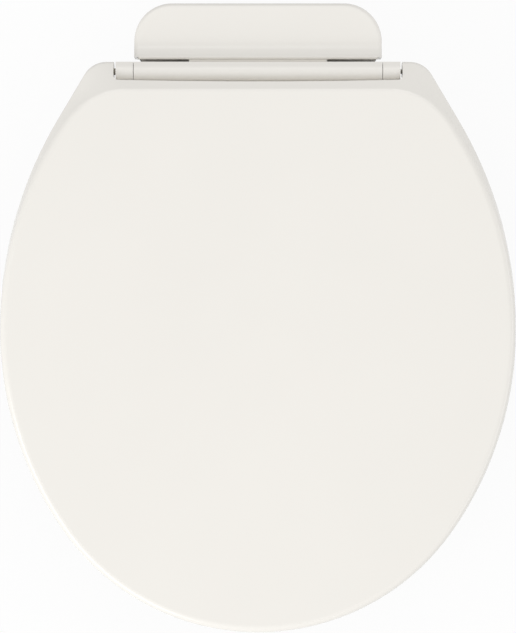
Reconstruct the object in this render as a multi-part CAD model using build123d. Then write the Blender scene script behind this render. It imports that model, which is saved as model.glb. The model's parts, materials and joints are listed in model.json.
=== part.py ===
from build123d import *
from math import atan2, cos, degrees, hypot, radians, sin, sqrt, tan
import os

# A toilet seat: lid, seat ring and a hinge bar with two rotary soft-close dampers.
# Millimetres. The origin is midway between the fixing bolts on the pan's surface,
# +X is right as seen from the front, +Y is the rear and +Z is up.
# "Ahead" is a distance from the hinge axis towards the front of the seat.

# Plan outline of the lid, whose lengths and radii follow its half width
HALF_WIDTH = 182.6
WIDEST_AHEAD = 1.0016 * HALF_WIDTH
NOSE_AHEAD = 2.1758 * HALF_WIDTH
NOSE_RADIUS = 0.92 * HALF_WIDTH
HIP_RADIUS = 1.5915 * HALF_WIDTH
TAPER = radians(30.65)
LID_REAR = 6.5
LID_CORNER = 18.0

# Hinge line
AXIS_AHEAD = 17.0
AXIS_HEIGHT = 24.0
BARREL_RADIUS = 8.5
BARREL_HALF = 88.0
KNUCKLE_WIDTH = 12.4
KNUCKLE_GAP = 0.4
NOTCH_GAP = 1.4
SWEEP_GAP = 1.0

# Lid
LID_WALL = 3.4
LID_GAP = 2.0
SLOPE = radians(25.0)
RIDGE_AHEAD = 14.0
RIDGE_ROUND = 5.0
PLATEAU_INSET = 1.2
PLATEAU_HIP = 1.3855 * HALF_WIDTH
PLATEAU_CORNER = 52.0
RIM_ROUND = 2.5
NOTCH_AHEAD = 6.6
NOTCH_BOW = 1.3
NOTCH_CORNER = 3.5
EAR_RADIUS = 10.0
EAR_BORE_DEPTH = 11.0

# Seat ring
RING_INSET = 2.0
RING_TOP = 24.0
RING_BOTTOM = 7.0
RING_WALL = 3.6
RING_CORNER = 12.0
RING_OUTER_ROUND = 7.0
RING_INNER_ROUND = 6.0
OPENING_AHEAD = 200.0
OPENING_HALF_WIDTH = 110.0
OPENING_HALF_LENGTH = 137.0
DISH_WIDTH = 42.0
DISH_DEPTH = 3.6
RIB_COUNT = 14
RIB_WALL = 2.4
RIB_RISE = 4.0

# Rubber buffers
SEAT_BUFFER = (34.0, 14.0)
SEAT_BUFFER_SEAT = 8.5
LID_BUFFER = (22.0, 9.0)
LID_BUFFER_SEAT = 29.5
BUFFER_STEM = 3.0
BUFFER_STEM_LENGTH = 5.0
BUFFER_ROUND = 1.5
BUFFER_LAND = 2.5
BUFFER_INSET = 16.0
BUFFER_NOSE_GAP = 67.301
BUFFER_AHEAD_FRONT = NOSE_AHEAD - BUFFER_NOSE_GAP
BUFFER_AHEAD_REAR = 92.0
REST_GAP = 0.3

# Hinge foot and cover
FOOT_GAP = 2.0
FOOT_THICK = 5.0
PAD_THICK = 2.0
PAD_HALF_LENGTH = 15.0
PAD_INSIDE = 14.0
NECK_AHEAD = 2.0
GUSSET_WALL = 3.0
GUSSET_PLACES = (22.0, 46.0)
COVER_HALF = BARREL_HALF
COVER_REAR = 48.9
COVER_CORNER = 27.0
COVER_WALL = 2.4
COVER_TOP = 21.5
COVER_SKIRT = 1.2
COVER_ROUND = 3.0
COVER_SWEEP = 11.0
PIVOT_BEHIND = 10.4
PIVOT_HEIGHT = 23.0
BEAD_RADIUS = 1.7
RAIL_HALF = 49.0
RAIL_WALL = 1.4
RAIL_LIP_FRONT = 185.0
RAIL_LIP_TOP = 55.0
RAIL_LIP_REAR = -58.0

# Rotary dampers
HOUSING_RADIUS = 5.3
HOUSING_WALL = 1.1
HOUSING_LENGTH = 49.0
HOUSING_END = 4.0
CAP_DEPTH = 5.0
SEAL_WIDTH = 1.6
SEAL_HEIGHT = 1.0
HUB_RADIUS = 2.8
SHAFT_RADIUS = 2.4
SHAFT_FLAT = 1.8
TIP_RADIUS = 1.6
STUB_LENGTH = 2.5
VANE_ANGLE = 24.0
WALL_ANGLE = 30.0
VANE_START = 147.0
BARREL_CORE_HALF = 10.0
CORE_RADIUS = 4.5
BUSH_WALL = 1.6
RUN_FIT = 0.05
SEAT_FIT = 0.05

# Fixings to the pan
FIXING_EDGE = 6.1
FIXING_TRAVEL = 12.0
PAN_THICK = 20.0
BOLT_RADIUS = 3.0
THREAD_RADIUS = 2.6
BOLT_BELOW = 62.0
BOLT_HEAD_RADIUS = 6.0
BOLT_HEAD_HEIGHT = 3.6
BOLT_HEAD_ROUND = 1.8
NECK_WIDTH = 6.0
SLOT_GAP = 0.25
CLAMP_WIDTH = 11.0
CLAMP_LENGTH = 13.0
CLAMP_THICK = 1.6
CLAMP_CORNER = 2.0
RUBBER_WASHER_RADIUS = 9.0
RUBBER_WASHER_THICK = 5.0
FLAT_WASHER_RADIUS = 9.5
FLAT_WASHER_THICK = 1.5
NUT_RADIUS = 7.0
NUT_TAPER = 2.0
NUT_HEIGHT = 12.0
WING_SPAN = 17.0
WING_WALL = 3.2
WING_ROUND = 4.0
STUD_GAP = 1.3

# Places that follow from the sizes above
AXIS_Y = -AXIS_AHEAD
SIDE_DROP = NOSE_AHEAD - NOSE_RADIUS - WIDEST_AHEAD
SIDE_RADIUS = (HALF_WIDTH**2 + SIDE_DROP**2 - NOSE_RADIUS**2) / (2 * (HALF_WIDTH - NOSE_RADIUS))
KNUCKLE_IN = BARREL_HALF + KNUCKLE_GAP
KNUCKLE_OUT = KNUCKLE_IN + KNUCKLE_WIDTH
NOTCH_HALF = KNUCKLE_OUT + NOTCH_GAP
SWEEP_RADIUS = BARREL_RADIUS + SWEEP_GAP
SLOPE_HEIGHT = AXIS_HEIGHT + BARREL_RADIUS / cos(SLOPE)
SHOULDER_TOP = SLOPE_HEIGHT - LID_REAR * tan(SLOPE)
LID_TOP = SLOPE_HEIGHT + RIDGE_AHEAD * tan(SLOPE)
LID_BOTTOM = RING_TOP + LID_GAP
RING_AHEAD = EAR_RADIUS + SWEEP_GAP
FOOT_INSET = COVER_WALL + FOOT_GAP
FOOT_HALF = COVER_HALF - FOOT_INSET
FOOT_REAR = COVER_REAR - FOOT_INSET
FOOT_CORNER = COVER_CORNER - FOOT_INSET
FOOT_BOTTOM = PAD_THICK
FOOT_TOP = FOOT_BOTTOM + FOOT_THICK
FIXING_SPACING = 2 * (FOOT_HALF - FIXING_EDGE)
FIXING_X = FIXING_SPACING / 2
WASHER_TOP = -PAN_THICK - RUBBER_WASHER_THICK
HOUSING_OUT = BARREL_HALF - KNUCKLE_GAP
HOUSING_IN = HOUSING_OUT - HOUSING_LENGTH
CHAMBER_RADIUS = HOUSING_RADIUS - HOUSING_WALL
CHAMBER_IN = HOUSING_IN + HOUSING_END
CHAMBER_OUT = HOUSING_OUT - CAP_DEPTH
BUSH_RADIUS = SHAFT_RADIUS + RUN_FIT + BUSH_WALL
SHAFT_END = NOTCH_HALF + EAR_BORE_DEPTH - REST_GAP
PIVOT_Y = AXIS_Y + PIVOT_BEHIND
SIDES = {"left": -1, "right": 1}


def ahead(distance):
    """Y of a place that many millimetres ahead of the hinge axis."""
    return AXIS_Y - distance


def rod(radius, x0, x1, y=AXIS_Y, z=AXIS_HEIGHT):
    """Round bar along X."""
    return Pos((x0 + x1) / 2, y, z) * Rot(0, 90, 0) * Cylinder(radius, abs(x1 - x0))


def block(x0, x1, y0, y1, z0, z1):
    """Block between two corners."""
    size = Box(abs(x1 - x0), abs(y1 - y0), abs(z1 - z0))
    return Pos((x0 + x1) / 2, (y0 + y1) / 2, (z0 + z1) / 2) * size


def prism(points, x0, x1):
    """Side profile in (y, z) extruded along X."""
    return extrude(Plane.YZ.offset(x0) * make_face(Polyline(*points, close=True)), x1 - x0)


def both_sides(shape):
    """A shape and its mirror image across the middle plane."""
    return shape + mirror(shape, Plane.YZ)


def outline(rear, corner_points, inset, hip):
    """Closed plan face: rear edge, corners, hips, sides and nose, inset from the lid's edge."""
    side = SIDE_RADIUS - inset
    nose = NOSE_RADIUS - inset
    hip_x = HALF_WIDTH - inset - hip
    side_x = HALF_WIDTH - SIDE_RADIUS
    nose_y = NOSE_AHEAD - NOSE_RADIUS
    reach = hypot(side_x, SIDE_DROP)
    lean = (-side_x / reach, SIDE_DROP / reach)
    tip = (0, NOSE_AHEAD - inset)
    wide = (HALF_WIDTH - inset, WIDEST_AHEAD)
    joint = (nose * lean[0], nose_y + nose * lean[1])
    side_turn = atan2(lean[1], lean[0]) / 2
    side_mid = (side_x + side * cos(side_turn), WIDEST_AHEAD + side * sin(side_turn))
    start, first_mid, middle, second_mid, end = corner_points
    hip_turn = atan2(end[1] - WIDEST_AHEAD, end[0] - hip_x) / 2
    hip_mid = (hip_x + hip * cos(hip_turn), WIDEST_AHEAD + hip * sin(hip_turn))

    def place(point, sign):
        return (sign * point[0], ahead(point[1]))

    edges = [Line(place((start[0], rear), -1), place((start[0], rear), 1))]
    for sign in (1, -1):
        corner = [(start, first_mid, middle), (middle, second_mid, end)]
        flank = [(end, hip_mid, wide), (wide, side_mid, joint)]
        for a, m, b in corner + flank:
            if m is None:
                edges.append(Line(place(a, sign), place(b, sign)))
            else:
                edges.append(ThreePointArc(place(a, sign), place(m, sign), place(b, sign)))
    edges.append(ThreePointArc(place(joint, 1), place(tip, 1), place(joint, -1)))
    return make_face(edges)


def tapered_outline(inset, rear, corner):
    """Outline whose straight tapers meet the rear edge in round corners."""
    hip = HIP_RADIUS - inset
    end = (HALF_WIDTH - HIP_RADIUS + hip * cos(TAPER), WIDEST_AHEAD - hip * sin(TAPER))
    point_x = end[0] - (end[1] - rear) * tan(TAPER)
    turn = (radians(90) - TAPER) / 2
    length = corner * tan(turn)
    start = (point_x - length, rear)
    middle = (point_x + length * sin(TAPER), rear + length * cos(TAPER))
    centre = (start[0], rear + corner)
    first_mid = (centre[0] + corner * sin(turn), centre[1] - corner * cos(turn))
    return outline(rear, (start, first_mid, middle, None, end), inset, hip)


def swept_outline(inset, rear, corner, hip):
    """Outline whose hips run into large rear corners with no straight between them."""
    hip_x = HALF_WIDTH - inset - hip
    centre_y = rear + corner
    rise = WIDEST_AHEAD - centre_y
    centre_x = hip_x + sqrt((hip - corner) ** 2 - rise**2)
    last = radians(90) - atan2(rise, centre_x - hip_x)

    def at(share):
        angle = last * share
        return (centre_x + corner * sin(angle), centre_y - corner * cos(angle))

    return outline(rear, [at(step / 4) for step in range(5)], inset, hip)


def lid_form(wall, bottom):
    """Outer form of the lid, or its hollow when a wall thickness is given."""
    shoulder = SHOULDER_TOP - wall * tan((radians(90) - SLOPE) / 2)
    steep = atan2(LID_TOP - SHOULDER_TOP, PLATEAU_INSET)
    shrink = wall * tan(steep / 2)
    ridge = RIDGE_AHEAD + wall * tan(SLOPE / 2)
    lower = tapered_outline(wall, wall - LID_REAR, LID_CORNER - wall)
    upper = swept_outline(PLATEAU_INSET + shrink, ridge, PLATEAU_CORNER - wall, PLATEAU_HIP - shrink)
    rim = extrude(Pos(0, 0, bottom) * lower, shoulder - bottom)
    crown = loft([Pos(0, 0, shoulder) * lower, Pos(0, 0, LID_TOP - wall) * upper], ruled=True)
    return rim + crown


def rounded_lid_form():
    """Outer form with the ridge and the rim rounded over, down to the pan's surface."""
    form = lid_form(0, 0)
    ridge = form.faces().sort_by(Axis.Z)[-1].edges()
    form = fillet(ridge, RIDGE_ROUND)
    rim = form.edges().filter_by(lambda e: abs(e.center().Z - SHOULDER_TOP) < 0.01)
    return fillet(rim, RIM_ROUND)


def notch(grow, bottom):
    """Block that fills the lid's notch, grown outwards by a wall."""
    half = NOTCH_HALF + grow
    front = NOTCH_AHEAD + grow
    rear = ahead(-LID_REAR - LID_WALL)
    bow = ThreePointArc((-half, ahead(front)), (0, ahead(front + NOTCH_BOW)), (half, ahead(front)))
    edges = [
        Line((half, ahead(front)), (half, rear)),
        Line((half, rear), (-half, rear)),
        Line((-half, rear), (-half, ahead(front))),
    ]
    filled = extrude(Pos(0, 0, bottom) * make_face([bow] + edges), LID_TOP + LID_WALL - bottom)
    corners = filled.edges().filter_by(Axis.Z).sort_by(Axis.Y)[:2]
    return fillet(corners, NOTCH_CORNER + grow)


def oblong(size, height):
    """Upright pad with full round ends, standing on the XY plane."""
    return extrude(SlotOverall(size[0], size[1]), height)


def buffer_places(inset):
    """Four places on the ring, with the angle of the rim there."""
    places = {}
    for level, distance in (("front", BUFFER_AHEAD_FRONT), ("rear", BUFFER_AHEAD_REAR)):
        for side, sign in SIDES.items():
            if distance > WIDEST_AHEAD:
                centre = (0.0, NOSE_AHEAD - NOSE_RADIUS)
                radius = NOSE_RADIUS - inset
            else:
                centre = (HALF_WIDTH - HIP_RADIUS, WIDEST_AHEAD)
                radius = HIP_RADIUS - inset
            x = centre[0] + sqrt(radius**2 - (distance - centre[1]) ** 2)
            lean = degrees(atan2(x - centre[0], centre[1] - distance))
            places[f"{level}_{side}"] = Pos(sign * x, ahead(distance), 0) * Rot(0, 0, -sign * lean)
    return places


def buffer(size, height):
    """Rubber pad with its rounded face on the XY plane and a stem on top."""
    pad = oblong(size, height)
    pad = fillet(pad.faces().sort_by(Axis.Z)[0].edges(), BUFFER_ROUND)
    return pad + Pos(0, 0, height + BUFFER_STEM_LENGTH / 2) * Cylinder(BUFFER_STEM, BUFFER_STEM_LENGTH)


def make_lid():
    """Shell with a hollow underside, a walled notch, hinge ears and four buffer seats."""
    hollow = lid_form(LID_WALL, 0) - notch(LID_WALL, 0)
    for place in buffer_places(BUFFER_INSET).values():
        land = [side + BUFFER_LAND for side in LID_BUFFER]
        hollow -= place * Pos(0, 0, LID_BUFFER_SEAT) * oblong(land, LID_TOP - LID_BUFFER_SEAT)
    ears = both_sides(rod(EAR_RADIUS, NOTCH_HALF, HALF_WIDTH))
    below = Pos(0, 0, LID_BOTTOM / 2) * Box(4 * HALF_WIDTH, 4 * NOSE_AHEAD, LID_BOTTOM)
    lid = rounded_lid_form() - (below - ears) - (hollow - ears) - notch(0, 0)
    lid -= rod(SWEEP_RADIUS, -NOTCH_HALF, NOTCH_HALF)
    lid -= key_hole(-NOTCH_HALF, -NOTCH_HALF - EAR_BORE_DEPTH)
    lid -= rod(BUSH_RADIUS + SEAT_FIT, NOTCH_HALF, NOTCH_HALF + EAR_BORE_DEPTH)
    for place in buffer_places(BUFFER_INSET).values():
        stem = Cylinder(BUFFER_STEM + SEAT_FIT, BUFFER_STEM_LENGTH + REST_GAP)
        lid -= place * Pos(0, 0, LID_BUFFER_SEAT + (BUFFER_STEM_LENGTH + REST_GAP) / 2) * stem
    return lid


def key_shaft(x0, x1, radius, flat):
    """Shaft end with two flats, above and below the hinge axis."""
    half = max(abs(x0), abs(x1))
    plate = block(-half, half, AXIS_Y - radius, AXIS_Y + radius, AXIS_HEIGHT - flat, AXIS_HEIGHT + flat)
    return rod(radius, x0, x1) & plate


def key_hole(x0, x1):
    """Hole for a flatted shaft end."""
    return key_shaft(x0, x1, SHAFT_RADIUS + SEAT_FIT, SHAFT_FLAT + SEAT_FIT)


def ring_form(wall, bottom):
    """Outer form of the seat ring, or its hollow when a wall thickness is given."""
    top = RING_TOP - wall
    face = tapered_outline(RING_INSET + wall, RING_AHEAD + wall, RING_CORNER - wall)
    form = extrude(Pos(0, 0, bottom) * face, top - bottom)
    form = fillet(form.faces().sort_by(Axis.Z)[-1].edges(), RING_OUTER_ROUND - wall)
    centre = Pos(0, ahead(OPENING_AHEAD), 0)
    inner = Ellipse(OPENING_HALF_WIDTH + wall, OPENING_HALF_LENGTH + wall)
    outer = Ellipse(OPENING_HALF_WIDTH + DISH_WIDTH, OPENING_HALF_LENGTH + DISH_WIDTH)
    dish = loft([Pos(0, 0, top - DISH_DEPTH) * inner, Pos(0, 0, top) * outer], ruled=True)
    form -= centre * dish
    form -= centre * Pos(0, 0, bottom) * extrude(inner, top - bottom)
    reach = OPENING_HALF_WIDTH + wall
    brim = form.edges().filter_by(lambda e: abs(e.bounding_box().size.X / 2 - reach) < 0.01)
    brim = brim.filter_by(lambda e: e.center().Z > (top + bottom) / 2)
    return fillet(brim, RING_INNER_ROUND - wall)


def hinge_profile():
    """Side profile of the barrel and the knuckles: round, with a flush slope to a flat rear."""
    lean = (BARREL_RADIUS * sin(SLOPE), BARREL_RADIUS * cos(SLOPE))
    corner = (LID_REAR, SHOULDER_TOP - AXIS_HEIGHT)
    foot = (LID_REAR, -sqrt(BARREL_RADIUS**2 - LID_REAR**2))
    nose = (-BARREL_RADIUS, 0)
    lean, corner, foot, nose = [(AXIS_Y + y, AXIS_HEIGHT + z) for y, z in (lean, corner, foot, nose)]
    return make_face([ThreePointArc(lean, nose, foot), Line(foot, corner), Line(corner, lean)])


def along_x(face, x0, x1):
    """Side profile extruded along X."""
    return extrude(Plane.YZ.offset(x0) * face, x1 - x0)


def make_ring():
    """Moulded ring with a ribbed hollow underside and two hinge knuckles."""
    hollow = ring_form(RING_WALL, 0)
    centre = Pos(0, ahead(OPENING_AHEAD), 0)
    reach = NOSE_AHEAD
    rib_floor = RING_BOTTOM + RIB_RISE
    for index in range(RIB_COUNT // 2):
        turn = Rot(0, 0, 180 * (index + 0.5) / (RIB_COUNT // 2))
        hollow -= centre * turn * Pos(0, 0, rib_floor + RING_TOP / 2) * Box(2 * reach, RIB_WALL, RING_TOP)
    for place in buffer_places(BUFFER_INSET + RING_INSET).values():
        land = [side + BUFFER_LAND for side in SEAT_BUFFER]
        hollow -= place * Pos(0, 0, SEAT_BUFFER_SEAT) * oblong(land, RING_TOP - SEAT_BUFFER_SEAT)
    ring = ring_form(0, RING_BOTTOM) - hollow
    knuckle = along_x(hinge_profile(), KNUCKLE_IN, KNUCKLE_OUT)
    neck_floor = AXIS_HEIGHT - BARREL_RADIUS
    neck_end = RING_AHEAD + RING_OUTER_ROUND + RING_WALL
    neck = block(KNUCKLE_IN, KNUCKLE_OUT, ahead(neck_end), AXIS_Y, neck_floor, AXIS_HEIGHT)
    ring += both_sides(knuckle + neck)
    ring -= rod(BUSH_RADIUS + SEAT_FIT, -KNUCKLE_OUT, -KNUCKLE_IN)
    ring -= key_hole(KNUCKLE_IN, KNUCKLE_OUT)
    for place in buffer_places(BUFFER_INSET + RING_INSET).values():
        stem = Cylinder(BUFFER_STEM + SEAT_FIT, BUFFER_STEM_LENGTH + REST_GAP)
        ring -= place * Pos(0, 0, SEAT_BUFFER_SEAT + (BUFFER_STEM_LENGTH + REST_GAP) / 2) * stem
    return ring


def foot_outline(half, rear, corner):
    """Plan face of the foot or the cover, square in front and round at the rear corners."""
    front = ahead(-LID_REAR)
    face = Pos(0, (front + AXIS_Y + rear) / 2) * Rectangle(2 * half, AXIS_Y + rear - front)
    return fillet(face.vertices().sort_by(Axis.Y)[-2:], corner)


def make_base():
    """Hinge bar: bored barrel, neck, slotted foot, gussets and the cover's hinge rail."""
    base = along_x(hinge_profile(), -BARREL_HALF, BARREL_HALF)
    base += block(-FOOT_HALF, FOOT_HALF, ahead(NECK_AHEAD), AXIS_Y + LID_REAR, FOOT_BOTTOM, AXIS_HEIGHT)
    foot = foot_outline(FOOT_HALF, FOOT_REAR, FOOT_CORNER)
    base += extrude(Pos(0, 0, FOOT_BOTTOM) * foot, FOOT_THICK)
    groove = BEAD_RADIUS + RUN_FIT
    outside = groove + RAIL_WALL
    wall_y = AXIS_Y + LID_REAR
    gusset_end = AXIS_Y + FOOT_REAR - FOOT_CORNER
    for place in GUSSET_PLACES:
        points = [(wall_y, FOOT_TOP), (gusset_end, FOOT_TOP), (wall_y, PIVOT_HEIGHT - outside)]
        base += both_sides(prism(points, place - GUSSET_WALL, place))
    rail = rod(outside, -RAIL_HALF, RAIL_HALF, PIVOT_Y, PIVOT_HEIGHT)
    rail_top = PIVOT_HEIGHT - BEAD_RADIUS / 2
    rail += block(-RAIL_HALF, RAIL_HALF, wall_y, PIVOT_Y, PIVOT_HEIGHT - outside, rail_top)
    mouth = [(PIVOT_Y, PIVOT_HEIGHT)]
    reach = 3 * outside
    for angle in (RAIL_LIP_FRONT, RAIL_LIP_TOP, RAIL_LIP_REAR):
        turn = radians(angle)
        mouth.append((PIVOT_Y + reach * cos(turn), PIVOT_HEIGHT + reach * sin(turn)))
    rail -= prism(mouth, -RAIL_HALF, RAIL_HALF)
    base += rail
    base -= rod(groove, -RAIL_HALF, RAIL_HALF, PIVOT_Y, PIVOT_HEIGHT)
    for sign in SIDES.values():
        base -= rod(HOUSING_RADIUS + SEAT_FIT, sign * HOUSING_IN, sign * BARREL_HALF)
        base -= rod(CORE_RADIUS, sign * BARREL_CORE_HALF, sign * HOUSING_IN)
        centre = Pos(sign * (FIXING_X - FIXING_TRAVEL / 2), 0, FOOT_BOTTOM)
        base -= centre * extrude(slot_with_square_ends(), FOOT_THICK)
    return base


def slot_with_square_ends():
    """Slot in the foot for a bolt's square neck over its whole adjustment."""
    width = NECK_WIDTH + 2 * SLOT_GAP
    return Rectangle(FIXING_TRAVEL + width, width)


def make_pad(sign):
    """Rubber pad under one end of the foot, open round the bolt's whole adjustment."""
    inner = FIXING_X - FIXING_TRAVEL - PAD_INSIDE
    face = foot_outline(FOOT_HALF, FOOT_REAR, FOOT_CORNER)
    reach = FOOT_HALF - inner
    face &= Pos(sign * (inner + reach / 2), 0) * Rectangle(reach, 2 * PAD_HALF_LENGTH)
    slot = SlotCenterToCenter(FIXING_TRAVEL, 2 * (BOLT_RADIUS + STUD_GAP))
    face -= Pos(sign * (FIXING_X - FIXING_TRAVEL / 2), 0) * slot
    return extrude(face, PAD_THICK)


def cover_profile(drop):
    """Side profile under the cover's top, lowered by a wall."""
    front = PIVOT_Y
    rear = AXIS_Y + COVER_REAR + COVER_WALL
    crest = PIVOT_HEIGHT + BEAD_RADIUS - drop
    top = COVER_TOP - drop
    flat = PIVOT_Y + COVER_SWEEP
    sweep = TangentArc((flat, top), (front, crest), tangent=(-1, 0))
    edges = [sweep, Line((flat, top), (rear, top)), Line((rear, top), (rear, 0))]
    edges += [Line((rear, 0), (front, 0)), Line((front, 0), (front, crest))]
    return make_face(edges)


def make_cover():
    """Cover over the fixing bolts, with a round front edge that turns in the base's rail."""
    plan = foot_outline(COVER_HALF, COVER_REAR, COVER_CORNER)
    inner = foot_outline(COVER_HALF - COVER_WALL, COVER_REAR - COVER_WALL, COVER_CORNER - COVER_WALL)
    height = PIVOT_HEIGHT + BEAD_RADIUS
    outside = extrude(Pos(0, 0, COVER_SKIRT) * plan, height)
    outside &= along_x(cover_profile(0), -COVER_HALF, COVER_HALF)
    outside = fillet(outside.edges().filter_by(on_cover_brim), COVER_ROUND)
    inside = extrude(inner, height) & along_x(cover_profile(COVER_WALL), -COVER_HALF, COVER_HALF)
    bead = rod(BEAD_RADIUS, COVER_ROUND - COVER_HALF, COVER_HALF - COVER_ROUND, PIVOT_Y, PIVOT_HEIGHT)
    return outside - inside + bead


def on_cover_brim(edge):
    """Whether an edge is on the cover's top, along its sides or rear."""
    middle = edge @ 0.5
    rear = AXIS_Y + COVER_REAR - COVER_WALL
    return middle.Z > COVER_TOP - COVER_WALL / 2 and (abs(middle.X) > COVER_WALL or middle.Y > rear)


def sector(radius, x0, x1, middle, width):
    """Slice of a round bar about the hinge axis, between two angles in the side view."""
    reach = 2 * radius
    half = radians(width / 2)
    turn = radians(middle)
    points = [(AXIS_Y, AXIS_HEIGHT)]
    for angle in (turn - half, turn + half):
        points.append((AXIS_Y + reach * cos(angle), AXIS_HEIGHT + reach * sin(angle)))
    return rod(radius, x0, x1) & prism(points, min(x0, x1), max(x0, x1))


def make_housing(sign):
    """Damper housing: a cup with two fixed walls that leave room for the vanes."""
    housing = rod(HOUSING_RADIUS, sign * HOUSING_IN, sign * HOUSING_OUT)
    chamber = rod(CHAMBER_RADIUS, sign * CHAMBER_IN, sign * HOUSING_OUT)
    for middle in (0, 180):
        fixed = sector(CHAMBER_RADIUS, sign * CHAMBER_IN, sign * CHAMBER_OUT, middle, WALL_ANGLE)
        chamber -= fixed - rod(HUB_RADIUS + RUN_FIT, sign * CHAMBER_IN, sign * CHAMBER_OUT)
    stub = STUB_LENGTH + REST_GAP
    return housing - chamber - rod(TIP_RADIUS + RUN_FIT, sign * (CHAMBER_IN - stub), sign * CHAMBER_IN)


def make_cap(sign):
    """Plug that closes the damper's chamber, with a seat for the shaft seal."""
    cap = rod(CHAMBER_RADIUS - SEAT_FIT, sign * CHAMBER_OUT, sign * HOUSING_OUT)
    cap -= rod(SHAFT_RADIUS + RUN_FIT, sign * CHAMBER_OUT, sign * HOUSING_OUT)
    return cap - rod(SHAFT_RADIUS + SEAL_HEIGHT, sign * CHAMBER_OUT, sign * (CHAMBER_OUT + SEAL_WIDTH))


def make_seal(sign):
    """Shaft seal in the cap's seat."""
    ring = rod(SHAFT_RADIUS + SEAL_HEIGHT - SEAT_FIT, sign * CHAMBER_OUT, sign * (CHAMBER_OUT + SEAL_WIDTH))
    return ring - rod(SHAFT_RADIUS + RUN_FIT, sign * CHAMBER_OUT, sign * (CHAMBER_OUT + SEAL_WIDTH))


def make_rotor(sign, key_in, key_out):
    """Damper rotor: two vanes on a hub, and a shaft flatted where it drives its part."""
    inner = CHAMBER_IN + REST_GAP
    outer = CHAMBER_OUT - REST_GAP
    rotor = rod(HUB_RADIUS, sign * inner, sign * outer)
    for middle in (VANE_START, VANE_START + 180):
        rotor += sector(CHAMBER_RADIUS - RUN_FIT, sign * inner, sign * outer, middle, VANE_ANGLE)
    rotor += rod(TIP_RADIUS, sign * inner, sign * (CHAMBER_IN - STUB_LENGTH))
    rotor += rod(SHAFT_RADIUS, sign * outer, sign * key_in)
    rotor += key_shaft(sign * key_in, sign * key_out, SHAFT_RADIUS, SHAFT_FLAT)
    if key_out < SHAFT_END:
        rotor += rod(TIP_RADIUS, sign * key_out, sign * SHAFT_END)
    return rotor


def make_bush(x0, x1, bore):
    """Plain bush round a hinge shaft."""
    return rod(BUSH_RADIUS, x0, x1) - rod(bore + RUN_FIT, x0, x1)


def make_bolt(sign):
    """Fixing bolt with a round head, square neck, plain shank and threaded end."""
    head_floor = FOOT_TOP + CLAMP_THICK
    bolt = Pos(0, 0, head_floor + BOLT_HEAD_HEIGHT / 2) * Cylinder(BOLT_HEAD_RADIUS, BOLT_HEAD_HEIGHT)
    bolt = fillet(bolt.faces().sort_by(Axis.Z)[-1].edges(), BOLT_HEAD_ROUND)
    half = NECK_WIDTH / 2
    bolt += block(-half, half, -half, half, FOOT_BOTTOM, head_floor)
    bolt += Pos(0, 0, (FOOT_BOTTOM - PAN_THICK) / 2) * Cylinder(BOLT_RADIUS, FOOT_BOTTOM + PAN_THICK)
    thread = BOLT_BELOW - PAN_THICK
    bolt += Pos(0, 0, -PAN_THICK - thread / 2) * Cylinder(THREAD_RADIUS, thread)
    return Pos(sign * FIXING_X, 0, 0) * bolt


def make_clamp(sign):
    """Steel plate under the bolt's head."""
    plate = RectangleRounded(CLAMP_WIDTH, CLAMP_LENGTH, CLAMP_CORNER)
    hole = NECK_WIDTH + 2 * SLOT_GAP
    plate -= Rectangle(hole, hole)
    return Pos(sign * FIXING_X, 0, FOOT_TOP) * extrude(plate, CLAMP_THICK)


def ring_below(sign, radius, top, height):
    """Washer on the threaded end, hanging down from a level."""
    disc = Cylinder(radius, height) - Cylinder(THREAD_RADIUS + SEAT_FIT, height)
    return Pos(sign * FIXING_X, 0, top - height / 2) * disc


def make_nut(sign):
    """Wing nut: a round body with two wings."""
    top = WASHER_TOP - FLAT_WASHER_THICK
    body = Cone(NUT_RADIUS - NUT_TAPER, NUT_RADIUS, NUT_HEIGHT)
    wings = Box(WING_WALL, 2 * WING_SPAN, NUT_HEIGHT)
    tips = wings.edges().filter_by(Axis.X)
    body += fillet(tips, WING_ROUND)
    body -= Cylinder(THREAD_RADIUS + SEAT_FIT, NUT_HEIGHT)
    return Pos(sign * FIXING_X, 0, top - NUT_HEIGHT / 2) * body


def make_parts():
    """Every node of the seat by name."""
    parts = {"lid": make_lid(), "seat_ring": make_ring()}
    parts.update({"hinge_base": make_base(), "hinge_cover": make_cover()})
    for name, sign, key_in, key_out in (
        ("lid_damper", SIDES["left"], NOTCH_HALF, SHAFT_END),
        ("seat_damper", SIDES["right"], KNUCKLE_IN, KNUCKLE_OUT),
    ):
        parts[f"{name}_housing"] = make_housing(sign)
        parts[f"{name}_cap"] = make_cap(sign)
        parts[f"{name}_seal"] = make_seal(sign)
        parts[f"{name}_rotor"] = make_rotor(sign, key_in, key_out)
    parts["seat_bush"] = make_bush(-KNUCKLE_OUT, -KNUCKLE_IN, SHAFT_RADIUS)
    parts["lid_bush"] = make_bush(NOTCH_HALF, NOTCH_HALF + EAR_BORE_DEPTH, TIP_RADIUS)
    for name, place in buffer_places(BUFFER_INSET + RING_INSET).items():
        parts[f"seat_buffer_{name}"] = place * buffer(SEAT_BUFFER, SEAT_BUFFER_SEAT)
    lid_rest = RING_TOP + REST_GAP
    for name, place in buffer_places(BUFFER_INSET).items():
        pad = buffer(LID_BUFFER, LID_BUFFER_SEAT - lid_rest)
        parts[f"lid_buffer_{name}"] = place * Pos(0, 0, lid_rest) * pad
    for side, sign in SIDES.items():
        parts[f"base_pad_{side}"] = make_pad(sign)
        parts[f"fixing_bolt_{side}"] = make_bolt(sign)
        parts[f"clamp_plate_{side}"] = make_clamp(sign)
        rubber = ring_below(sign, RUBBER_WASHER_RADIUS, -PAN_THICK, RUBBER_WASHER_THICK)
        parts[f"rubber_washer_{side}"] = rubber
        parts[f"flat_washer_{side}"] = ring_below(sign, FLAT_WASHER_RADIUS, WASHER_TOP, FLAT_WASHER_THICK)
        parts[f"wing_nut_{side}"] = make_nut(sign)
    return parts


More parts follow.
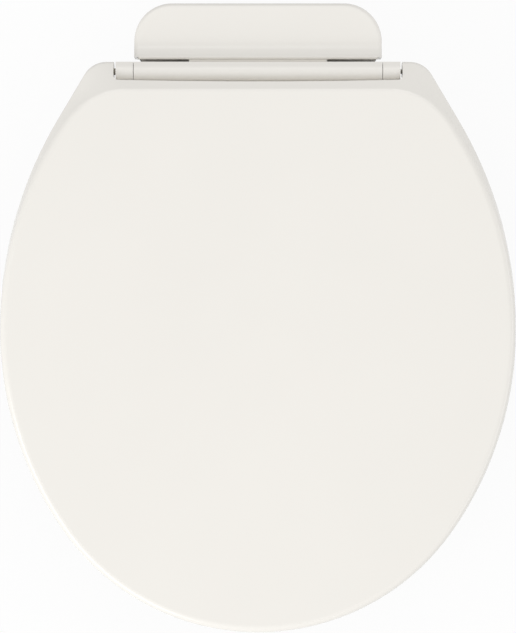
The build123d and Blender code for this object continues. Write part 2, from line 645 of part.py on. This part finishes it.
os.makedirs("parts", exist_ok=True)
for node, shape in make_parts().items():
    export_step(shape, f"parts/{node}.step")
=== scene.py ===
import json
from math import atan2, cos, pi, radians, sin

import bpy
from bpy.props import FloatProperty, FloatVectorProperty, IntProperty, PointerProperty
from bpy.types import Operator, Panel, PropertyGroup
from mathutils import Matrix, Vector


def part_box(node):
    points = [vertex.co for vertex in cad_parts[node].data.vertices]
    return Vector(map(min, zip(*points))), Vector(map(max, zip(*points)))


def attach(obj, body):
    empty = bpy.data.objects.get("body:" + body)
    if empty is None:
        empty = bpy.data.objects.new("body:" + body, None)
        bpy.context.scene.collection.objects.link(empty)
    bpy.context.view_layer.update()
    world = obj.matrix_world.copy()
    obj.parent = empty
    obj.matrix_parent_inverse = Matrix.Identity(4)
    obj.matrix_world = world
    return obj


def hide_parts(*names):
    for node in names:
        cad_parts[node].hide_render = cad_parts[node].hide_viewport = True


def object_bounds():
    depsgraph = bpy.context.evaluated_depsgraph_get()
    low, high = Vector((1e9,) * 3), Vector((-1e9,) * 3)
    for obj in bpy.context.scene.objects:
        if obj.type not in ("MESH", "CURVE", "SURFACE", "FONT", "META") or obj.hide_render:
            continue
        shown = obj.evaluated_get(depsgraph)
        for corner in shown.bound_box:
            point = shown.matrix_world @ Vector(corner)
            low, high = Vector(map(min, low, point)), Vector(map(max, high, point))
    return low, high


bl_info = {
    "name": "Toilet Seat",
    "version": (1, 0, 0),
    "blender": (4, 5, 0),
    "location": "3D View > Sidebar > Toilet Seat",
    "description": "Finishes, small moulded details and a photo stage for a toilet seat with a lid",
    "category": "Object",
}

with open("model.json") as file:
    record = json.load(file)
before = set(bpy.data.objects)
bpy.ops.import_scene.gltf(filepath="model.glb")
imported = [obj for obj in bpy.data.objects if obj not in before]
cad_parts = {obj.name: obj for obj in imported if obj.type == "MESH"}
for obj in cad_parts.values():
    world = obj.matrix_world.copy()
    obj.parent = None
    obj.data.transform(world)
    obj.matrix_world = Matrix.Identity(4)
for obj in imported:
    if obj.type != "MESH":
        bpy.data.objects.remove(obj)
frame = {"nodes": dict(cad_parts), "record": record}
CAD_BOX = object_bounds()
NODES = frame["nodes"]
MM = 0.001
SIDES = ("left", "right")
CORNERS = ("front_left", "front_right", "rear_left", "rear_right")
SMOOTH_ANGLE, SHARP_ANGLE = radians(35), radians(60)
NEARLY_ONE = 0.99
NOISE_LOW, NOISE_HIGH = 0.3, 0.7  # most noise values lie between these
FLANK_SHARE, DEPTH_SHARE = 0.45, 0.55  # half width and depth of a thread ridge, of its pitch
RIDGE_SIDES, THREAD_STEPS = 3, 28
PAD_SIDES, STEM_SIDES, RIB_SIDES = 64, 32, 12
EDGE_STEPS, RIB_STEPS = 4, 2
TIP_GRIPS = 1.2  # grip spacings from a wing's tip to its outermost rib
RIB_HEIGHT, RIB_ROUND = 0.55, 0.7  # of the nut's height and of the rib's radius
SENSOR_MM = 24
FLOOR_SIZE, FLOOR_ROUGHNESS = 8, 0.9
WHITE = (1, 1, 1, 1)


def linear(code):
    """Linear colour of an sRGB hex value."""
    channels = [int(code[i : i + 2], 16) / 255 for i in (1, 3, 5)]
    return tuple(c / 12.92 if c <= 0.04045 else ((c + 0.055) / 1.055) ** 2.4 for c in channels)


def colour_prop(name, description, code):
    """Colour setting with its default from an sRGB hex value."""
    default = linear(code)
    return FloatVectorProperty(
        name=name, description=description, default=default, subtype="COLOR", max=1
    )


def length_prop(name, description, default):
    """Length setting in metres."""
    return FloatProperty(
        name=name, description=description, default=default, unit="LENGTH", precision=4
    )


def place_prop(name, description, default):
    """Place or extent in metres."""
    return FloatVectorProperty(
        name=name, description=description, default=default, size=len(default), unit="LENGTH"
    )


def power_prop(name, description, default):
    """Lamp power in watts."""
    return FloatProperty(name=name, description=description, default=default, unit="POWER")


def share_prop(name, description, default):
    """Share between none and all."""
    return FloatProperty(
        name=name, description=description, default=default, min=0, max=1, subtype="FACTOR"
    )


class SeatFinishes(PropertyGroup):
    """Colours of the seat's materials and the sizes of their grain."""

    plastic: colour_prop("Moulded plastic", "Lid, ring, hinge bar and cover", "#F3F0EA")
    rubber: colour_prop("Buffer rubber", "Buffers and the pads under the hinge foot", "#C9C8C3")
    seal: colour_prop("Black rubber", "Washers and shaft seals", "#26272A")
    acetal: colour_prop("Dark acetal", "Damper housings and caps", "#303236")
    natural: colour_prop("Natural acetal", "Damper rotors and bushes", "#DAD5C6")
    nylon: colour_prop("Nylon", "Wing nuts", "#E4E2DC")
    steel: colour_prop("Stainless steel", "Bolts, clamp plates and washers", "#C6C7C8")
    peel: length_prop("Orange peel", "Spacing of the gloss surface's faint waves", 2.2 * MM)
    cloud: length_prop("Clouding", "Spacing of the plastic's faint tone changes", 90 * MM)
    grain: length_prop("Rubber grain", "Spacing of the rubber's fine grain", 0.5 * MM)


class SeatDetails(PropertyGroup):
    """Sizes of the modelled details."""

    pitch: length_prop("Thread pitch", "Spacing of the bolt thread", 1.0 * MM)
    crest: length_prop("Thread crest", "Outer radius of the bolt thread", 2.95 * MM)
    lead: length_prop("Thread lead-in", "Plain end of the bolt below its thread", 1.2 * MM)
    groove: length_prop("Buffer groove", "Width of the groove round a buffer's face", 1.1 * MM)
    border: length_prop("Buffer border", "Width of the rim outside that groove", 2.0 * MM)
    sink: length_prop("Buffer groove depth", "Depth of the groove in a buffer's face", 0.9 * MM)
    edge: length_prop("Buffer edge", "Round on the edge of a buffer's face", 1.2 * MM)
    stem: length_prop("Buffer stem", "Length of the stem inside the ring or the lid", 5 * MM)
    stem_radius: length_prop("Buffer stem radius", "Radius of that stem", 3 * MM)
    grips: IntProperty(
        name="Wing grips", description="Grip ribs on each side of a wing", default=4, min=1
    )
    grip: length_prop("Grip rib", "Radius of a grip rib", 0.6 * MM)
    grip_gap: length_prop("Grip spacing", "Spacing of the grip ribs", 2.1 * MM)
    wing: length_prop("Wing", "Half the thickness of a wing", 1.6 * MM)


class SeatStage(PropertyGroup):
    """Camera, lamps and floor."""

    distance: length_prop("Camera height", "Camera's height above the pan surface", 2.3)
    view: length_prop("View height", "Height of the picture at the lid's edge", 0.4482)
    centre: length_prop("View centre", "Y of the picture's centre", -0.1908)
    lid_edge: length_prop("Lid edge", "Depth of the lid's widest edge below its top", 11 * MM)
    key: power_prop("Key lamp", "Power of the large low lamp on the left", 43)
    key_place: place_prop("Key place", "Middle of the key lamp", (-1.9, -2.0, 1.2))
    fill: power_prop("Fill lamp", "Power of the large low lamp on the right", 16)
    fill_place: place_prop("Fill place", "Middle of the fill lamp", (2.7, -0.6, 1.1))
    panel: place_prop("Lamp panel", "Width and height of the key and fill lamps", (3.0, 1.3))
    strip: power_prop("Rear strip", "Power of the long narrow lamp behind", 3.0)
    strip_place: place_prop("Strip place", "Middle of the rear strip", (0, 0.85, 1.7))
    strip_size: place_prop("Strip size", "Width and height of the rear strip", (1.8, 0.12))
    ambient: share_prop("Ambient", "Strength of the light from all round", 0.685)
    shade: share_prop("Floor shadow", "Share of the shadow that the white floor keeps", 0.08)
    paint: share_prop("Floor paint", "Lightness of the floor under its shadow", 0.9)
    bounce: share_prop("Floor bounce", "Share of light that the floor throws at the seat", 0.38)
    drop: length_prop("Floor drop", "Gap between the bolts' ends and the floor", 0.5 * MM)


def add(tree, kind, values=None, feeds=(), **links):
    """Adds a node with its settings, and links its inputs in order or by name."""
    node = tree.nodes.new("ShaderNode" + kind)
    for name, value in (values or {}).items():
        if name in node.inputs:
            node.inputs[name].default_value = value
        else:
            setattr(node, name, value)
    for name, socket in list(enumerate(feeds)) + list(links.items()):
        tree.links.new(socket, node.inputs[name])
    return node


def start_material(name):
    """New node material: its tree, its main shader and its object coordinates."""
    material = bpy.data.materials.new(name)
    material.use_nodes = True
    tree = material.node_tree
    place = add(tree, "TexCoord").outputs["Object"]
    return material, tree, tree.nodes["Principled BSDF"], place


def two_tone(tree, shader, place, colour, spacing, depth):
    """Colour that drifts slightly darker and lighter over the given spacing."""
    noise = add(tree, "TexNoise", {"Scale": 1 / spacing, "Detail": 2.0}, Vector=place)
    ramp = add(tree, "ValToRGB", Fac=noise.outputs["Fac"])
    for stop, change in zip(ramp.color_ramp.elements, (1 - depth, 1 + depth)):
        stop.color = [min(1.0, c * change) for c in colour] + [1.0]
    ramp.color_ramp.elements[0].position = NOISE_LOW
    ramp.color_ramp.elements[1].position = NOISE_HIGH
    tree.links.new(ramp.outputs["Color"], shader.inputs["Base Color"])


def uneven_gloss(tree, shader, place, spacing, low, high):
    """Roughness that wanders between two values."""
    noise = add(tree, "TexNoise", {"Scale": 1 / spacing, "Detail": 3.0}, Vector=place)
    limits = {"From Min": NOISE_LOW, "From Max": NOISE_HIGH, "To Min": low, "To Max": high}
    spread = add(tree, "MapRange", limits, Value=noise.outputs["Fac"])
    tree.links.new(spread.outputs["Result"], shader.inputs["Roughness"])


def relief(tree, shader, place, spacing, height, detail=1.0):
    """Fine surface relief of a given spacing and height."""
    noise = add(tree, "TexNoise", {"Scale": 1 / spacing, "Detail": detail}, Vector=place)
    bump = add(tree, "Bump", {"Strength": 1.0, "Distance": height}, Height=noise.outputs["Fac"])
    tree.links.new(bump.outputs["Normal"], shader.inputs["Normal"])


def moulded_plastic(finish):
    """Warm white thermoset from a polished tool: glossy, with a trace of orange peel."""
    material, tree, shader, place = start_material("moulded_white_thermoset")
    two_tone(tree, shader, place, finish.plastic, finish.cloud, depth=0.006)
    uneven_gloss(tree, shader, place, finish.cloud / 2, low=0.2, high=0.27)
    relief(tree, shader, place, finish.peel, height=0.004 * MM)
    shader.inputs["IOR"].default_value = 1.5
    return material


def buffer_rubber(finish):
    """Light grey thermoplastic rubber from an eroded tool: dull, with a fine grain."""
    material, tree, shader, place = start_material("moulded_grey_rubber")
    two_tone(tree, shader, place, finish.rubber, 6 * MM, depth=0.03)
    uneven_gloss(tree, shader, place, 4 * MM, low=0.55, high=0.7)
    relief(tree, shader, place, finish.grain, height=0.03 * MM, detail=2.0)
    shader.inputs["IOR"].default_value = 1.5
    return material


def black_rubber(finish):
    """Black nitrile rubber, cut from sheet: dull, with dusty pale grain."""
    material, tree, shader, place = start_material("cut_black_rubber")
    two_tone(tree, shader, place, finish.seal, 2 * MM, depth=0.15)
    uneven_gloss(tree, shader, place, 3 * MM, low=0.6, high=0.8)
    relief(tree, shader, place, finish.grain, height=0.04 * MM, detail=2.0)
    shader.inputs["IOR"].default_value = 1.52
    return material


def acetal(finish, name, colour):
    """Acetal, injection moulded: waxy half gloss with faint flow marks."""
    material, tree, shader, place = start_material(name)
    two_tone(tree, shader, place, colour, 8 * MM, depth=0.03)
    uneven_gloss(tree, shader, place, 5 * MM, low=0.32, high=0.42)
    relief(tree, shader, place, finish.peel / 2, height=0.004 * MM)
    shader.inputs["IOR"].default_value = 1.48
    return material


def nylon(finish):
    """Natural nylon, injection moulded: slightly cloudy and satin."""
    material, tree, shader, place = start_material("moulded_natural_nylon")
    two_tone(tree, shader, place, finish.nylon, 7 * MM, depth=0.025)
    uneven_gloss(tree, shader, place, 4 * MM, low=0.38, high=0.5)
    relief(tree, shader, place, finish.grain, height=0.006 * MM)
    shader.inputs["IOR"].default_value = 1.53
    return material


def stainless(finish):
    """Stainless steel, cold formed: bright, with fine draw lines along the bolt."""
    material, tree, shader, place = start_material("cold_formed_stainless_steel")
    drawn = add(tree, "Mapping", {"Scale": (1.0, 1.0, 0.08)}, Vector=place).outputs["Vector"]
    two_tone(tree, shader, drawn, finish.steel, 0.8 * MM, depth=0.05)
    uneven_gloss(tree, shader, drawn, 0.6 * MM, low=0.2, high=0.36)
    relief(tree, shader, drawn, 0.5 * MM, height=0.01 * MM, detail=2.0)
    shader.inputs["Metallic"].default_value = 1.0
    return material


def select_only(obj):
    """Makes one object the only selected and the active one."""
    bpy.ops.object.select_all(action="DESELECT")
    obj.select_set(True)
    bpy.context.view_layer.objects.active = obj


def apply_place(obj):
    """Puts an object's place, turn and scale into its mesh."""
    select_only(obj)
    bpy.ops.object.transform_apply(location=True, rotation=True, scale=True)


def fit_out(obj, body, like):
    """Gives a finished piece its body and the material of a like CAD node."""
    select_only(obj)
    bpy.ops.object.shade_smooth_by_angle(angle=SMOOTH_ANGLE)
    obj.data.materials.clear()
    obj.data.materials.append(NODES[like].data.materials[0])
    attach(obj, body)


def copy_of(obj, name):
    """Copy of a piece with its own mesh."""
    twin = obj.copy()
    twin.data = obj.data.copy()
    twin.name = name
    bpy.context.scene.collection.objects.link(twin)
    return twin


def pick_vertices(obj, test):
    """Selects, in edit mode, the vertices whose place passes a test."""
    bpy.ops.mesh.select_mode(type="VERT")
    bpy.ops.mesh.select_all(action="DESELECT")
    bpy.ops.object.mode_set(mode="OBJECT")
    for vertex in obj.data.vertices:
        vertex.select = test(vertex.co)
    bpy.ops.object.mode_set(mode="EDIT")


def pick_faces(obj, test):
    """Selects, in edit mode, the faces whose normal passes a test."""
    bpy.ops.mesh.select_mode(type="FACE")
    bpy.ops.mesh.select_all(action="DESELECT")
    bpy.ops.object.mode_set(mode="OBJECT")
    for face in obj.data.polygons:
        face.select = test(face.normal)
    bpy.ops.object.mode_set(mode="EDIT")


def context_object(name):
    """The object that was just added, under a new name."""
    obj = bpy.context.active_object
    obj.name = name
    return obj


def long_axis(node):
    """Angle about Z of the longest direction of a CAD node seen from above."""
    points = [v.co.xy for v in NODES[node].data.vertices]
    middle = sum(points, Vector((0, 0))) / len(points)
    offsets = [p - middle for p in points]
    mixed = sum(d.x * d.y for d in offsets)
    spread = sum(d.x * d.x - d.y * d.y for d in offsets)
    return atan2(2 * mixed, spread) / 2


def half_spans(node, angle):
    """Half length and half width of a CAD node along and across an angle about Z."""
    low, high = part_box(node)
    middle = (low + high) / 2
    along = Vector((cos(angle), sin(angle)))
    offsets = [v.co.xy - middle.xy for v in NODES[node].data.vertices]
    return max(abs(d.dot(along)) for d in offsets), max(abs(d.cross(along)) for d in offsets)


def facing_down(normal):
    """Whether a face with this normal looks straight down."""
    return normal.z < -NEARLY_ONE


class SEAT_OT_finishes(Operator):
    """Gives every CAD node its material"""

    bl_idname = "toilet_seat.finishes"
    bl_label = "Finish Nodes"

    def execute(self, context):
        finish = context.scene.toilet_seat_finishes
        materials = {
            "white_plastic": moulded_plastic(finish),
            "buffer_rubber": buffer_rubber(finish),
            "seal_rubber": black_rubber(finish),
            "damper_plastic": acetal(finish, "moulded_black_acetal", finish.acetal),
            "bush_plastic": acetal(finish, "moulded_natural_acetal", finish.natural),
            "nut_plastic": nylon(finish),
            "fixing_steel": stainless(finish),
        }
        for row in frame["record"]["subparts"]:
            mesh = NODES[row["node"]].data
            mesh.materials.clear()
            mesh.materials.append(materials[row["material_slot"]])
        return {"FINISHED"}


class SEAT_OT_threads(Operator):
    """Winds the rolled thread on the end of each fixing bolt"""

    bl_idname = "toilet_seat.threads"
    bl_label = "Bolt Threads"

    def execute(self, context):
        detail = context.scene.toilet_seat_details
        for side in SIDES:
            self.wind(detail, side)
        return {"FINISHED"}

    def wind(self, detail, side):
        """One helical ridge from below the wing nut to the bolt's lead-in."""
        nut_low, nut_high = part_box(f"wing_nut_{side}")
        centre = (nut_low + nut_high) / 2
        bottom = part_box(f"fixing_bolt_{side}")[0].z + detail.lead
        turns = int((nut_low.z - bottom) / detail.pitch)
        half = FLANK_SHARE * detail.pitch
        bpy.ops.object.select_all(action="DESELECT")
        bpy.ops.mesh.primitive_circle_add(
            vertices=RIDGE_SIDES, radius=half, rotation=(pi / 2, 0, 0)
        )
        ridge = context_object(f"bolt_thread_{side}")
        apply_place(ridge)
        root = detail.crest - DEPTH_SHARE * detail.pitch
        corners = ((detail.crest, 0, 0), (root, 0, half), (root, 0, -half))
        for vertex, corner in zip(ridge.data.vertices, corners):
            vertex.co = corner
        screw = ridge.modifiers.new("thread", "SCREW")
        screw.screw_offset = detail.pitch
        screw.iterations = turns
        screw.steps = screw.render_steps = THREAD_STEPS
        screw.use_merge_vertices = True
        select_only(ridge)
        bpy.ops.object.modifier_apply(modifier=screw.name)
        bpy.ops.object.mode_set(mode="EDIT")
        bpy.ops.mesh.select_all(action="SELECT")
        bpy.ops.mesh.fill_holes(sides=RIDGE_SIDES)
        bpy.ops.mesh.select_all(action="SELECT")
        bpy.ops.mesh.normals_make_consistent(inside=False)
        bpy.ops.object.mode_set(mode="OBJECT")
        ridge.location = (centre.x, centre.y, bottom)
        apply_place(ridge)
        fit_out(ridge, f"{side}_fixing", f"fixing_bolt_{side}")


class SEAT_OT_buffers(Operator):
    """Moulds the rubber buffers with a grooved face"""

    bl_idname = "toilet_seat.buffers"
    bl_label = "Rubber Buffers"

    def execute(self, context):
        detail = context.scene.toilet_seat_details
        for owner in ("seat", "lid"):
            pattern = self.mould(detail, f"{owner}_buffer_{CORNERS[0]}")
            for corner in CORNERS:
                node = f"{owner}_buffer_{corner}"
                piece = copy_of(pattern, f"{owner}_bumper_{corner}")
                low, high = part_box(node)
                piece.location = ((low.x + high.x) / 2, (low.y + high.y) / 2, low.z)
                piece.rotation_euler = (0, 0, long_axis(node))
                apply_place(piece)
                fit_out(piece, owner, node)
                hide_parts(node)
            bpy.data.objects.remove(pattern)
        return {"FINISHED"}

    def mould(self, detail, node):
        """Oblong pad along X, face down on the XY plane, with a groove round its face."""
        low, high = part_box(node)
        long, short = half_spans(node, long_axis(node))
        height = high.z - low.z - detail.stem
        bpy.ops.object.select_all(action="DESELECT")
        middle = (0, 0, height / 2)
        bpy.ops.mesh.primitive_cylinder_add(
            vertices=PAD_SIDES, radius=short, depth=height, location=middle
        )
        pad = context_object("buffer_pattern")
        apply_place(pad)
        off_middle = short / 100
        bpy.ops.object.mode_set(mode="EDIT")
        for sign in (1, -1):
            pick_vertices(pad, lambda place, way=sign: way * place.x > off_middle)
            bpy.ops.transform.translate(value=(sign * (long - short), 0, 0))
        pick_faces(pad, facing_down)
        bpy.ops.mesh.region_to_loop()
        bpy.ops.mesh.bevel(offset=detail.edge, segments=EDGE_STEPS)
        pick_faces(pad, facing_down)
        bpy.ops.mesh.inset(thickness=detail.border)
        for step in (detail.sink, -detail.sink):
            bpy.ops.mesh.extrude_region_move(TRANSFORM_OT_translate={"value": (0, 0, step)})
            if step > 0:
                bpy.ops.mesh.inset(thickness=detail.groove)
        bpy.ops.object.mode_set(mode="OBJECT")
        self.add_stem(detail, pad, height)
        return pad

    def add_stem(self, detail, pad, height):
        """Joins the round stem to the middle of a pad's back."""
        bpy.ops.object.select_all(action="DESELECT")
        depth = height / 2 + detail.stem
        middle = (0, 0, height / 2 + depth / 2)
        bpy.ops.mesh.primitive_cylinder_add(
            vertices=STEM_SIDES, radius=detail.stem_radius, depth=depth, location=middle
        )
        stem = context_object("stem_pattern")
        union = pad.modifiers.new("stem", "BOOLEAN")
        union.operation = "UNION"
        union.object = stem
        select_only(pad)
        bpy.ops.object.modifier_apply(modifier=union.name)
        bpy.data.objects.remove(stem)


class SEAT_OT_grips(Operator):
    """Puts the grip ribs on the wing nuts' wings"""

    bl_idname = "toilet_seat.grips"
    bl_label = "Wing Nut Grips"

    def execute(self, context):
        detail = context.scene.toilet_seat_details
        for side in SIDES:
            low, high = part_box(f"wing_nut_{side}")
            middle = (low + high) / 2
            length = (high.z - low.z) * RIB_HEIGHT
            ribs = []
            for index in range(detail.grips):
                reach = (high.y - low.y) / 2 - detail.grip_gap * (index + TIP_GRIPS)
                for x in (-detail.wing, detail.wing):
                    for y in (-reach, reach):
                        ribs.append(self.rib(detail, middle + Vector((x, y, 0)), length))
            bpy.ops.object.select_all(action="DESELECT")
            for rib in ribs:
                rib.select_set(True)
            bpy.context.view_layer.objects.active = ribs[0]
            bpy.ops.object.join()
            piece = context_object(f"wing_nut_grip_{side}")
            fit_out(piece, f"{side}_fixing", f"wing_nut_{side}")
        return {"FINISHED"}

    def rib(self, detail, place, length):
        """Upright round-ended rib, half sunk in the wing."""
        bpy.ops.object.select_all(action="DESELECT")
        bpy.ops.mesh.primitive_cylinder_add(
            vertices=RIB_SIDES, radius=detail.grip, depth=length, location=place
        )
        rib = context_object("grip_rib")
        apply_place(rib)
        soften = rib.modifiers.new("ends", "BEVEL")
        soften.width = detail.grip * RIB_ROUND
        soften.segments = RIB_STEPS
        soften.angle_limit = SHARP_ANGLE
        bpy.ops.object.modifier_apply(modifier=soften.name)
        return rib


class SEAT_OT_stage(Operator):
    """Sets the camera, the lamps and the white floor"""

    bl_idname = "toilet_seat.stage"
    bl_label = "Photo Stage"

    def execute(self, context):
        stage = context.scene.toilet_seat_stage
        self.camera(context, stage)
        self.lamps(stage)
        self.floor(stage)
        self.world(context, stage)
        context.scene.view_settings.view_transform = "Standard"
        return {"FINISHED"}

    def camera(self, context, stage):
        """Looks straight down, with the rear of the seat at the top of the picture."""
        bpy.ops.object.select_all(action="DESELECT")
        bpy.ops.object.camera_add(location=(0, stage.centre, stage.distance), rotation=(0, 0, 0))
        camera = context_object("overhead_camera")
        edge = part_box("lid")[1].z - stage.lid_edge
        camera.data.sensor_fit = "VERTICAL"
        camera.data.sensor_height = SENSOR_MM
        camera.data.lens = camera.data.sensor_height * (stage.distance - edge) / stage.view
        context.scene.camera = camera

    def lamps(self, stage):
        """Two large soft lamps, one on each side, and a long narrow one behind."""
        target = Vector((0, stage.centre, 0))
        rows = (
            ("key_lamp", stage.key_place, stage.panel, stage.key),
            ("fill_lamp", stage.fill_place, stage.panel, stage.fill),
            ("rear_strip", stage.strip_place, stage.strip_size, stage.strip),
        )
        for name, place, size, power in rows:
            bpy.ops.object.select_all(action="DESELECT")
            bpy.ops.object.light_add(type="AREA", location=place)
            lamp = context_object(name)
            lamp.data.shape = "RECTANGLE"
            lamp.data.size, lamp.data.size_y = size
            lamp.data.energy = power
            lamp.rotation_euler = (target - lamp.location).to_track_quat("-Z", "Y").to_euler()

    def floor(self, stage):
        """White floor under the bolts, which keeps a trace of the shadow."""
        bpy.ops.object.select_all(action="DESELECT")
        level = CAD_BOX[0].z - stage.drop
        bpy.ops.mesh.primitive_plane_add(size=FLOOR_SIZE, location=(0, 0, level))
        floor = context_object("white_floor")
        material, tree, shader, _ = start_material("white_floor_paint")
        seen = self.seen_directly(tree)
        grey = add(tree, "MapRange", {"To Min": stage.bounce, "To Max": stage.paint}, Value=seen)
        tree.links.new(grey.outputs["Result"], shader.inputs["Base Color"])
        shader.inputs["Roughness"].default_value = FLOOR_ROUGHNESS
        glow = add(tree, "Emission", {"Color": WHITE, "Strength": 1.0})
        share = add(tree, "MapRange", {"To Max": 1 - stage.shade}, Value=seen)
        feeds = (share.outputs["Result"], shader.outputs["BSDF"], glow.outputs["Emission"])
        mix = add(tree, "MixShader", feeds=feeds)
        tree.links.new(mix.outputs["Shader"], tree.nodes["Material Output"].inputs["Surface"])
        floor.data.materials.append(material)

    def world(self, context, stage):
        """Even light from all round, seen as plain white."""
        world = bpy.data.worlds.new("white_room")
        context.scene.world = world
        world.use_nodes = True
        tree = world.node_tree
        tree.nodes.clear()
        seen = self.seen_directly(tree)
        strength = add(tree, "MapRange", {"To Min": stage.ambient, "To Max": 1.0}, Value=seen)
        light = add(tree, "Background", {"Color": WHITE}, Strength=strength.outputs["Result"])
        add(tree, "OutputWorld", Surface=light.outputs["Background"])

    def seen_directly(self, tree):
        """1 for what the camera sees, also in a mirror or through glass."""
        path = add(tree, "LightPath").outputs
        either = {"operation": "MAXIMUM"}
        mirror = add(tree, "Math", either, feeds=(path["Is Camera Ray"], path["Is Glossy Ray"]))
        feeds = (mirror.outputs["Value"], path["Is Transmission Ray"])
        return add(tree, "Math", either, feeds=feeds).outputs["Value"]


class SEAT_PT_panel(Panel):
    """Lists the seat's settings and steps in the sidebar"""

    bl_idname = "SEAT_PT_panel"
    bl_label = "Toilet Seat"
    bl_space_type = "VIEW_3D"
    bl_region_type = "UI"
    bl_category = "Toilet Seat"

    def draw(self, context):
        for name in ("finishes", "details", "stage"):
            box = self.layout.box()
            group = getattr(context.scene, f"toilet_seat_{name}")
            for setting in group.__annotations__:
                box.prop(group, setting)
        for step in STEPS:
            self.layout.operator(step.bl_idname)


GROUPS = {"finishes": SeatFinishes, "details": SeatDetails, "stage": SeatStage}
STEPS = (SEAT_OT_finishes, SEAT_OT_threads, SEAT_OT_buffers, SEAT_OT_grips, SEAT_OT_stage)


def register():
    for name, group in GROUPS.items():
        bpy.utils.register_class(group)
        setattr(bpy.types.Scene, f"toilet_seat_{name}", PointerProperty(type=group))
    for step in STEPS:
        bpy.utils.register_class(step)
    bpy.utils.register_class(SEAT_PT_panel)


def unregister():
    bpy.utils.unregister_class(SEAT_PT_panel)
    for step in reversed(STEPS):
        bpy.utils.unregister_class(step)
    for name, group in GROUPS.items():
        delattr(bpy.types.Scene, f"toilet_seat_{name}")
        bpy.utils.unregister_class(group)


def main():
    register()
    bpy.ops.toilet_seat.finishes()
    bpy.ops.toilet_seat.threads()
    bpy.ops.toilet_seat.buffers()
    bpy.ops.toilet_seat.grips()
    bpy.ops.toilet_seat.stage()


if __name__ == "__main__":
    main()
